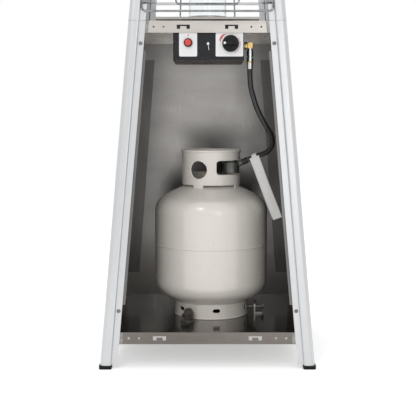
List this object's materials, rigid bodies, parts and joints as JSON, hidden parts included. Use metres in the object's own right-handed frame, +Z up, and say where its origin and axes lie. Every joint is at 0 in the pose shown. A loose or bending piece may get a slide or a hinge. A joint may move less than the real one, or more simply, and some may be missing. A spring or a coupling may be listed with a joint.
{
  "type": "pyramid patio heater",
  "caption": "Free-standing pyramid gas patio heater with a cabinet for a gas tank, wire guards, glass flame tube and reflector.",
  "frame": {"origin": "on the floor, midway between the four feet", "axes": "+Z up; the open front of the cabinet faces -Y; +X is to the right seen from the front"},
  "size_m": [0.5498, 0.5498, 2.2711],
  "materials": {
    "leg_paint": "semi-gloss silver grey paint",
    "rubber_cap": "matt",
    "zinc_steel": "zinc plated sheet",
    "stainless": "brushed stainless sheet",
    "bolt_steel": "bright plated",
    "tank_enamel": "gloss enamel",
    "brass": "machined",
    "wheel_plastic": "moulded",
    "nut_plastic": "moulded",
    "regulator_grey": "satin",
    "box_charcoal": "fine textured powder coat",
    "plate_white": "satin",
    "bezel_black": "satin",
    "button_red": "gloss",
    "knob_black": "gloss",
    "spindle_steel": "turned",
    "swivel_chrome": "polished",
    "ferrule_zinc": "crimped",
    "hose_rubber": "satin",
    "tag_white": "matt coated paper",
    "burner_iron": "heat-tinted steel",
    "tube_glass": "clear polished",
    "guard_chrome": "bright plated wire"
  },
  "bodies": {
    "heater": {"back_panel": "stainless", "base_tray": "stainless", "bleed_screw": "brass", "burner": "burner_iron", "burner_deck": "stainless", "burner_drum": "stainless", "burner_pan": "stainless", "burner_probes": "burner_iron", "burner_screen": "burner_iron", "burner_supply_pipe": "zinc_steel", "cap_nuts": "bolt_steel", "clamp_lugs": "zinc_steel", "control_box": "box_charcoal", "control_box_floor": "box_charcoal", "corner_brackets": "zinc_steel", "dial_plate": "plate_white", "foot_caps": "rubber_cap", "gas_hose": "hose_rubber", "gas_regulator": "regulator_grey", "gas_valve": "brass", "glass_seat": "stainless", "glass_tube": "tube_glass", "guard_clips": "zinc_steel", "guard_frame_back": "guard_chrome", "guard_frame_front": "guard_chrome", "guard_frame_left": "guard_chrome", "guard_frame_right": "guard_chrome", "guard_wires": "guard_chrome", "hose_ferrule": "ferrule_zinc", "hose_swivel": "swivel_chrome", "hose_tag": "tag_white", "igniter_bezel": "bezel_black", "igniter_plate": "plate_white", "inlet_elbow": "brass", "inlet_nipple": "brass", "left_panel": "stainless", "leg_joiners": "zinc_steel", "leg_screws": "bolt_steel", "lower_legs": "leg_paint", "piezo_igniter": "bezel_black", "reflector": "stainless", "reflector_posts": "zinc_steel", "right_panel": "stainless", "tank_collar": "tank_enamel", "tank_foot_ring": "tank_enamel", "tank_shell": "tank_enamel", "tank_valve": "brass", "top_plate": "stainless", "tube_top_ring": "stainless", "upper_legs": "leg_paint"},
    "igniter_button": {"igniter_button": "button_red"},
    "knob_slide_bush": {"spindle_bush": "spindle_steel"},
    "burner_knob": {"control_knob": "knob_black", "valve_spindle": "spindle_steel"},
    "tank_handwheel": {"tank_handwheel": "wheel_plastic"},
    "coupling_nut": {"coupling_nut": "nut_plastic"},
    "clamp_bolt_1": {"clamp_bolt_1": "bolt_steel"},
    "clamp_bolt_2": {"clamp_bolt_2": "bolt_steel"},
    "clamp_bolt_3": {"clamp_bolt_3": "bolt_steel"}
  },
  "joints": [
    {"name": "igniter_push", "type": "slide", "parent": "heater", "child": "igniter_button", "axis": [0, 1, 0], "range_m": [0, 0.005], "stiffness_N_per_m": 900, "springref_m": -0.002},
    {"name": "knob_push", "type": "slide", "parent": "heater", "child": "knob_slide_bush", "axis": [0, 1, 0], "range_m": [0, 0.004], "stiffness_N_per_m": 900, "springref_m": -0.003},
    {"name": "knob_turn", "type": "hinge", "parent": "knob_slide_bush", "child": "burner_knob", "pos_m": [0.0586, -0.19, 0.8198], "axis": [0, -1, 0], "range_deg": [0, 180]},
    {"name": "tank_wheel_turn", "type": "hinge", "parent": "heater", "child": "tank_handwheel", "pos_m": [0.01, -0.01, 0.5259], "axis": [0, 0, 1], "range_deg": [0, 720]},
    {"name": "coupling_turn", "type": "hinge", "parent": "heater", "child": "coupling_nut", "pos_m": [0.03396, -0.02805, 0.4984], "axis": [0.7986, -0.6018, 0], "range_deg": [0, 720]},
    {"name": "clamp_bolt_1_travel", "type": "slide", "parent": "heater", "child": "clamp_bolt_1", "axis": [1, 0, 0], "range_m": [0, 0.016]},
    {"name": "clamp_bolt_2_travel", "type": "slide", "parent": "heater", "child": "clamp_bolt_2", "axis": [-0.5, 0.866, 0], "range_m": [0, 0.016]},
    {"name": "clamp_bolt_3_travel", "type": "slide", "parent": "heater", "child": "clamp_bolt_3", "axis": [-0.5, -0.866, 0], "range_m": [0, 0.016]}
  ]
}
